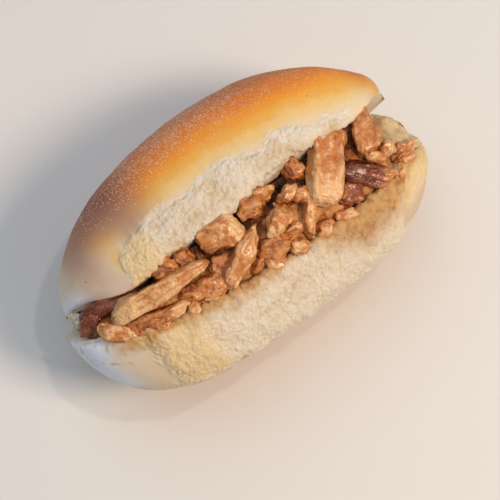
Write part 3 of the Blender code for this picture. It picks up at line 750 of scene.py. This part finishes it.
def bread_finish():
    """Crust that browns from cream to dark orange, ivory crumb, and bread stained by the sauce."""
    made = Finish("bread", Subsurface_Weight=0.3, Subsurface_Scale=0.002, Specular_IOR_Level=0.2)
    made.paint(Subsurface_Radius=(1.0, 0.6, 0.3))
    labels = ("browning", "crumb", "pore_shade", "sauce", "ruddy", "golden", "flour")
    browning, crumb, pore_shade, sauce, ruddy, golden, flour = (made.attribute(label) for label in labels)
    mottle = made.noise(9.0, 3.0) - 0.5
    tone = browning + mottle * 0.12 + (made.noise(0.9, 3.0) - 0.5) * 0.10
    crust = made.mix(ruddy, made.ramp(tone, CRUST_TONES), made.mix(browning, *RUDDY))
    grains = made.cells(0.6)
    presence = made.node("ShaderNodeSeparateColor", {}, {"Color": made.cells(0.6, "Color")}, "Red")
    patches = made.fade(made.noise(6.0, 3.0), 0.3, 0.6, 0.4, 1.1)
    flour = (grains < 0.42) * (presence < flour * patches)
    crust = made.mix(flour * 0.7, crust, FLOUR)
    crust = made.mix((made.cells(9.0) < 0.035) * 0.8, crust, SPECK)

    # Painted shade: the crumb darkens in its pores and pits.
    inside = made.mix(made.fade(pore_shade, 0.35, 0.9), CRUMB, PORE_SHADE)
    inside = made.mix(made.fade(golden + mottle * 0.8, 0.2, 1.0) * 0.75, inside, GOLDEN)
    pits = made.fade(made.noise(2.0, 3.0), 0.55, 0.72) * crumb
    inside = made.mix(pits * 0.3, inside, PIT_SHADE)
    stained = made.mix(made.fade(made.noise(3.0, 3.0), 0.4, 0.7), *STAIN)
    colour = made.mix(sauce * 0.92, made.mix(crumb, crust, inside), stained)

    rough = made.fade(crumb, 0.0, 1.0, 0.6, 0.95) - sauce * 0.25
    grit = made.noise(0.7, 4.0, roughness=0.7)
    height = (grit * 0.8 - pits * 0.2) * crumb + made.noise(0.4, 3.0) * (1 - crumb) * 0.2 + flour * 0.3
    return made.paint(Base_Color=colour, Roughness=rough, Normal=made.bump(height, 0.6))


# ---------------- the chicken
def mouth_lip(u, across):
    """How far the line between the lips is from the inner end of the slit."""
    return ROLL_DEPTH / 2 - HINGE_WEB + crown_half_depth(u) * across + base_half_depth(u) * (1 - across)


def mouth(x, across, proud):
    """A point in the mouth: across is 0 on the base half's face and 1 on the crown half's, and proud
    is the height over the line between the lips."""
    u = np.clip(x / (ROLL_LENGTH / 2), -1, 1)
    depth = mouth_lip(u, across) + proud - ROLL_DEPTH / 2 + HINGE_WEB
    return laid(x, depth, end_lift(u), CROWN_LEAN - opening(u) * (1 - across))


def strip_frame(start, end, twist):
    """Middle and half length of a strip, and its directions: along it, across it and out of the mouth,
    the last two turned about the first by the twist."""
    first, last = mouth(*start), mouth(*end)
    middle = (first + last) / 2
    axis = (last - first) / np.linalg.norm(last - first)
    out = middle - np.array([middle[0], HINGE_Y, HINGE_Z])
    out -= axis * (out @ axis)
    out /= np.linalg.norm(out)
    side = np.cross(axis, out)
    angle = np.radians(twist)
    out, side = out * np.cos(angle) - side * np.sin(angle), side * np.cos(angle) + out * np.sin(angle)
    return middle, np.linalg.norm(last - first) / 2, axis, side, out


def strip_piece(index, strip, grid):
    """One strip of chicken: a bent bar with blunt ragged ends, boxy across and lumpy along, flat on a
    few sides, with the relief of flesh."""
    name, start, end, width, thickness, bend, twist, narrowing = strip
    shade, fibrous, square, pale_end = LOOKS.get(name, PLAIN)
    middle, length, axis, side, out = strip_frame(start, end, twist)
    stations, sides = grid
    w, phi = np.meshgrid(
        np.linspace(-1, 1, stations + 2)[1:-1],
        2 * np.pi * np.arange(sides) / sides - np.pi / 2,
        indexing="ij",
    )
    along = np.sin(w * np.pi / 2)
    size = taper(along, 4 + 6 * square, 0.5 - 0.15 * square) * (1 + narrowing * along * 0.5)
    lumps = 0.10 * np.sin(3 * phi + index) * np.cos(4 * along + 2 * index)
    lumps = 1 + (lumps + 0.07 * np.sin(5 * along + 1.7 * index)) * (1 - 0.3 * square)
    boxy = 0.75 - 0.25 * max(fibrous, square)
    across = np.sign(np.cos(phi)) * np.abs(np.cos(phi)) ** boxy * size * lumps
    over = np.sign(np.sin(phi)) * np.abs(np.sin(phi)) ** boxy * size * lumps
    slant = 0.25 * np.sin(2.3 * index) * width * np.cos(phi)
    points = (
        middle
        + (along * length + slant)[..., None] * axis
        + (across * width / 2)[..., None] * side
        + (over * thickness / 2 + bend * (1 - along**2))[..., None] * out
    )
    cuts = 5 if length < SHORT_STRIP and square < 1 else 2
    points = faceted(points, middle, index, cuts, 0.7 - 0.3 * fibrous)
    local = np.stack([along * length, across * width / 2, over * thickness / 2], -1) + 40.0 * index
    ends = smooth_step(np.abs(along), 0.55, 0.95)
    ribs = np.cos(3 * np.pi * across / np.maximum(size, 0.3) + 0.8 * bumps(local, 7.0, 30))
    on_top = smooth_step(fibrous, 0.5, 1.0) * (over > 0)
    relief, tone_and_painted_shade = flesh(local, ends, fibrous)
    relief = relief + 0.045 * width * on_top * ribs
    threads = local * [0.2, 1, 1]
    ragged = ends * size * (0.9 * bumps(threads, 2.4, 36) + 0.5 * bumps(threads, 1.1, 37))
    points = points + (np.sign(along) * ragged)[..., None] * axis
    relief = relief * min(1.0, thickness / 7) * (0.4 + 0.6 * size)
    points = points + grid_normals(points) * relief[..., None]
    # Painted shade: darker on the side facing into the mouth and in the grooves between the ribs, plus
    # the piece's shade from LOOKS.
    tone_and_painted_shade = tone_and_painted_shade - 0.15 * over + shade + 0.18 * on_top * smooth_step(-ribs, 0.2, 1.0)
    tone_and_painted_shade = np.clip(tone_and_painted_shade - 0.6 * smooth_step(pale_end * along, 0.2, 0.8), 0, 1.4)
    uv = np.stack([local[..., 0], phi * (width + thickness) / 4 + 10 * index], -1)
    return points, {"tone_and_painted_shade": tone_and_painted_shade}, uv


def flesh(local, ends, fibrous):
    """Relief of torn meat, and its tone with painted shade, darker in its folds and creases and lighter
    on its
    knobs: folds, finer creases, strands of fibre along the piece and knobs, all stretched along it. The
    more fibrous, the smoother."""
    warped = local + 1.1 * np.stack([bumps(local, 4.0, seed) for seed in (26, 27, 28)], -1)
    stretched = warped / [1.5, 1, 1]
    fold = np.abs(bumps(warped / [2.0, 1, 1], 4.8, 21))
    crease = np.abs(bumps(warped / [1.6, 1, 1], 2.2, 25))
    strand = bumps(warped / [9.0, 1, 1], 2.3, 22) + 0.4 * bumps(local / [6.0, 1, 1], 0.9, 24)
    torn = knobs(stretched, 3.4, 34) - 0.45
    relief = (0.9 - 0.6 * fibrous) * (fold - 0.3) + (0.35 - 0.2 * fibrous + 0.4 * ends) * (crease - 0.3)
    relief = relief + (0.25 + 0.25 * fibrous) * strand + 0.6 * bumps(local, 7.0, 23)
    relief = relief + (0.9 - 0.7 * fibrous + 0.4 * ends) * torn
    relief = relief + (0.35 - 0.2 * fibrous) * bumps(stretched, 2.0, 35)
    relief = relief + (0.18 - 0.08 * fibrous) * bumps(local / [1.6, 1, 1], 1.1, 29)
    tone_and_painted_shade = 0.32 + 0.40 * smooth_step(-fold, -0.22, 0) * (1 - 0.6 * fibrous)
    tone_and_painted_shade = tone_and_painted_shade + 0.18 * smooth_step(-crease, -0.18, 0) * (1 - 0.5 * fibrous)
    return relief, tone_and_painted_shade - 0.06 * fibrous * strand - 0.25 * torn * (1 - 0.6 * fibrous)


def faceted(points, middle, seed, cuts, strength):
    """Flattens a piece on a few sides, as a torn chunk is: what lies beyond a plane is pressed a share
    of the way back to it. The planes face at random and each takes off a random part of the reach."""
    chance = np.random.default_rng(100 + seed)
    for _ in range(cuts):
        facing = chance.normal(size=3)
        facing /= np.linalg.norm(facing)
        reach = (points - middle) @ facing
        beyond = np.maximum(reach - chance.uniform(0.62, 0.8) * reach.max(), 0)
        points = points - strength * beyond[..., None] * facing
    return points


def heap_top(u, share):
    """How far the heap's top is from the inner end of the slit, at that share of the way across."""
    sunk = HEAP_SUNK_CROWN * share + HEAP_SUNK_BASE * (1 - share)
    drop = HEAP_END_DROPS[0] * (1 - taper(u / 0.95, 8, 0.5)) * (u < 0)
    return mouth_lip(u, share) - sunk - drop - HEAP_END_DROPS[1] * smooth_step(u, 0.7, 0.85)


def heap_piece():
    """The filling under the strips: a wedge clear of both cut faces, its top heaped with knobs."""
    rings, sides = HEAP_GRID
    x, turn = np.meshgrid(np.linspace(HEAP_LEFT, HEAP_RIGHT, rings), np.arange(sides), indexing="ij")
    u = x / (ROLL_LENGTH / 2)
    wall = np.linspace(0, 0.9, HEAP_WALL)
    share = np.clip((turn - HEAP_WALL) / (sides - 2 * HEAP_WALL - 1), 0, 1)
    up = np.concatenate([wall, np.ones(sides - 2 * HEAP_WALL), wall[::-1]])[turn]
    reach = HEAP_FOOT + (heap_top(u, share) - HEAP_FOOT) * up
    room = np.radians(opening(u)) - 2 * HEAP_CLEAR / reach
    lean = np.degrees(np.radians(CROWN_LEAN) - HEAP_CLEAR / reach - room * (1 - share))
    flat = laid(x, reach - ROLL_DEPTH / 2 + HINGE_WEB, end_lift(u), lean)
    relief = 1.3 * bumps(flat, 7.0, 31) + 1.6 * (knobs(flat, 5.0, 32) - 0.4) + 0.4 * bumps(flat, 1.5, 33)
    relief = (relief + 1.2 * smooth_step(-np.abs(share - 0.35), -0.35, 0)) * (up == 1)
    points = laid(x, reach + relief - ROLL_DEPTH / 2 + HINGE_WEB, end_lift(u), lean)
    # Painted shade: darker where the knobs are low and towards the crown half, deep under its lip.
    tone_and_painted_shade = np.clip(0.55 - 0.3 * relief + 0.6 * smooth_step(share, 0.5, 0.9), 0, 1.4)
    return points, {"tone_and_painted_shade": tone_and_painted_shade}, np.stack([x, share * 30], -1)


def chicken_finish(name, tones, wet):
    """Cooked chicken in a brown sauce, wet from 0 to 1: pale on the ridges and dark orange-brown in the
    hollows as painted light and shade, with fine fibres along each piece and glossy patches of sauce."""
    made = Finish(name, Coat_Roughness=0.12, Coat_IOR=1.4, Specular_IOR_Level=0.65 * wet + 0.1)
    light, middle, deep, dark = tones
    patches = made.noise(4.5, 3.0)
    fibre = made.noise(0.7, 3.0, made.grain_place(6.0))
    # The attribute holds the pieces' own tone and painted shade: dark in the hollows and under the
    # crown's lip, pale on the ridges.
    tone = made.attribute("tone_and_painted_shade") + (patches - 0.5) * 0.6 + (fibre - 0.5) * 0.35
    tone = tone + (made.noise(1.6, 3.0) - 0.5) * 0.5
    colour = made.ramp(tone * 0.7, [(0.07, light), (1.0, dark), (0.34, middle), (0.65, deep)])
    spice = made.fade(made.noise(0.9, 2.0), 0.66, 0.74)
    gloss = made.fade(made.noise(2.6, 3.0), 0.36, 0.54)
    height = fibre + made.noise(0.5, 2.0) * 0.4 + made.noise(1.2, 2.0) * 1.5
    return made.paint(
        Base_Color=made.mix(spice * 0.4, colour, SPICE),
        Roughness=made.fade(gloss, 0, 1, 0.5, 0.5 - 0.55 * wet),
        Coat_Weight=gloss * wet,
        Normal=made.bump(height, 0.4),
    )


# ---------------- crumbs
def lip_point(u, crown, depth, height):
    """A point near a half's front lip, that far inside it and that far above the cut."""
    half = crown_half_depth(u) if crown else base_half_depth(u)
    rise = height + end_lift(u) + lip_shift(u, half, 0, half, crown)
    return laid(place_along(u, crown), half - depth, rise, CROWN_LEAN - (0 if crown else opening(u)))


def tufts():
    """Torn crumb that clings to the base half's lip, and the flap where the halves join at the left
    end: balls stretched and turned at random, their surface pushed out by knobs."""
    chance = np.random.default_rng(11)
    base_u, join_u = chance.uniform(-0.74, 0.72, BASE_TUFTS), chance.uniform(-0.985, -0.965, JOIN_TUFTS)
    base_in, join_in = chance.uniform(0.8, 3.5, BASE_TUFTS), chance.uniform(-1.5, 0.5, JOIN_TUFTS)
    base_up, join_up = chance.uniform(-1.4, 0.2, BASE_TUFTS), chance.uniform(-4.5, 0.3, JOIN_TUFTS)
    centres = np.concatenate(
        [lip_point(base_u, False, base_in, base_up), lip_point(join_u, True, join_in, join_up)]
    )
    count, (rings, sides) = len(centres), TUFT_GRID
    sizes = chance.uniform(0.5, 1.1, (count, 1)) * chance.uniform(0.6, 1.6, (count, 3))
    sizes[BASE_TUFTS:] += 0.3
    golden = chance.uniform(0, 0.7, count)
    golden[BASE_TUFTS:] *= 0.8
    turn = np.linalg.qr(chance.normal(size=(count, 3, 3)))[0]
    polar = np.pi * (np.arange(rings)[:, None] + 0.5) / rings
    round_ = 2 * np.pi * np.arange(sides) / sides
    level = np.cos(polar) + 0 * round_
    ball = np.stack([level, np.sin(polar) * np.cos(round_), np.sin(polar) * np.sin(round_)], -1)
    shape = np.einsum("nij,nrsj->nrsi", turn, ball * sizes[:, None, None])
    points = centres[:, None, None] + shape
    rough = 0.6 * bumps(points, 1.4, 51) + 0.3 * (knobs(points, 0.9, 52) - 0.4)
    points = points + shape * np.clip(rough, -0.5, 0.9)[..., None]
    stain = chance.uniform(0, 1, count) ** 1.5
    stain[:BASE_TUFTS] *= 0.4 + 0.6 * smooth_step(base_u, 0.1, 0.4)
    stain[BASE_TUFTS:] = 0
    plain = np.zeros((count, rings, sides))
    attributes = {
        "crumb": plain + 1,
        # painted shade in the pores, darker where the crumb's relief is low
        "pore_shade": np.clip(0.35 - 0.4 * rough, 0, 1),
        "sauce": plain + stain[:, None, None],
        "golden": plain + golden[:, None, None],
    }
    return many_balls("bread_tufts", points, attributes)


# ---------------- the studio
def camera():
    """The camera looks down steeply from the front left, so the roll runs up to the right. Gives the
    frame's directions to the right, up and back to the camera."""
    azimuth, elevation = np.radians(-39.4), np.radians(74.0)
    distance, frame_px, mm_per_px = 0.6, 500, 0.405
    middle_px = (236.0, 223.5)  # where the middle of the sandwich is in the frame
    ahead = np.cos(elevation)
    back = Vector((np.sin(azimuth) * ahead, -np.cos(azimuth) * ahead, np.sin(elevation)))
    right = Vector((np.cos(azimuth), np.sin(azimuth), 0))
    up = back.cross(right)
    low, high = cad_box
    data = bpy.data.cameras.new("camera")
    data.lens = data.sensor_width * distance / (mm_per_px * MM) / frame_px
    data.shift_x = (frame_px / 2 - middle_px[0]) / frame_px
    data.shift_y = (middle_px[1] - frame_px / 2) / frame_px
    eye = bpy.data.objects.new("camera", data)
    bpy.context.scene.collection.objects.link(eye)
    turn = Matrix((right, up, back)).transposed().to_4x4()
    eye.matrix_world = Matrix.Translation((low + high) / 2 + back * distance) @ turn
    bpy.context.scene.camera = eye
    return right, up, back


def lamp(name, towards, size, watts, colour):
    """A square soft light that faces the sandwich from a direction."""
    data = bpy.data.lights.new(name, "AREA")
    data.size = size
    data.energy = watts
    data.color = colour
    body = bpy.data.objects.new(name, data)
    bpy.context.scene.collection.objects.link(body)
    direction = towards.normalized()
    body.location = Vector(LAMP_AIM) + direction * LAMP_DISTANCE
    body.rotation_euler = direction.to_track_quat("Z", "Y").to_euler()


def studio(right, up, back):
    """Three soft lamps, a pale bluish room and a plain pale floor."""
    for name, (rightwards, upwards, backwards), size, watts, colour in LAMPS:
        lamp(name, right * rightwards + up * upwards + back * backwards, size, watts, colour)
    world = bpy.data.worlds.new("room")
    world.use_nodes = True
    background = world.node_tree.nodes["Background"]
    background.inputs["Color"].default_value = (*ROOM_COLOUR, 1)
    background.inputs["Strength"].default_value = ROOM_STRENGTH
    bpy.context.scene.world = world
    bpy.context.scene.view_settings.view_transform = "Standard"
    corners = FLOOR_REACH * np.array([(-1, -1, 0), (1, -1, 0), (1, 1, 0), (-1, 1, 0)])
    mesh = mesh_from("floor", corners, np.array([[0, 1, 2, 3]]))
    floor = bpy.data.objects.new("floor", mesh)
    bpy.context.scene.collection.objects.link(floor)
    made = Finish("floor", Roughness=0.8)
    floor.data.materials.append(made.paint(Base_Color=FLOOR_COLOUR))


def main():
    bread = bread_finish()
    for part in (bread_half(True), bread_half(False), tufts()):
        part.data.materials.append(bread)
        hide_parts("bread_roll")
    meat = chicken_finish("sauced_chicken", MEAT, MEAT_WET)
    # The heap under the strips has the chicken's tones darkened as painted shade.
    under = chicken_finish("sauced_heap", UNDER_PAINTED_SHADE, UNDER_WET)
    for index, strip in enumerate(STRIPS):
        piece = solid("chicken_" + strip[0], *strip_piece(index, strip, STRIP_GRID))
        piece.data.materials.append(meat)
        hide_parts(strip[0])
    for index, scrap in enumerate(SCRAPS, len(STRIPS)):
        piece = solid("scrap_" + scrap[0], *strip_piece(index, scrap, SCRAP_GRID))
        piece.data.materials.append(meat)
        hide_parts("chicken_heap")
    heap = solid("chicken_heap_top", *heap_piece())
    heap.data.materials.append(under)
    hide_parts("chicken_heap")
    studio(*camera())


main()
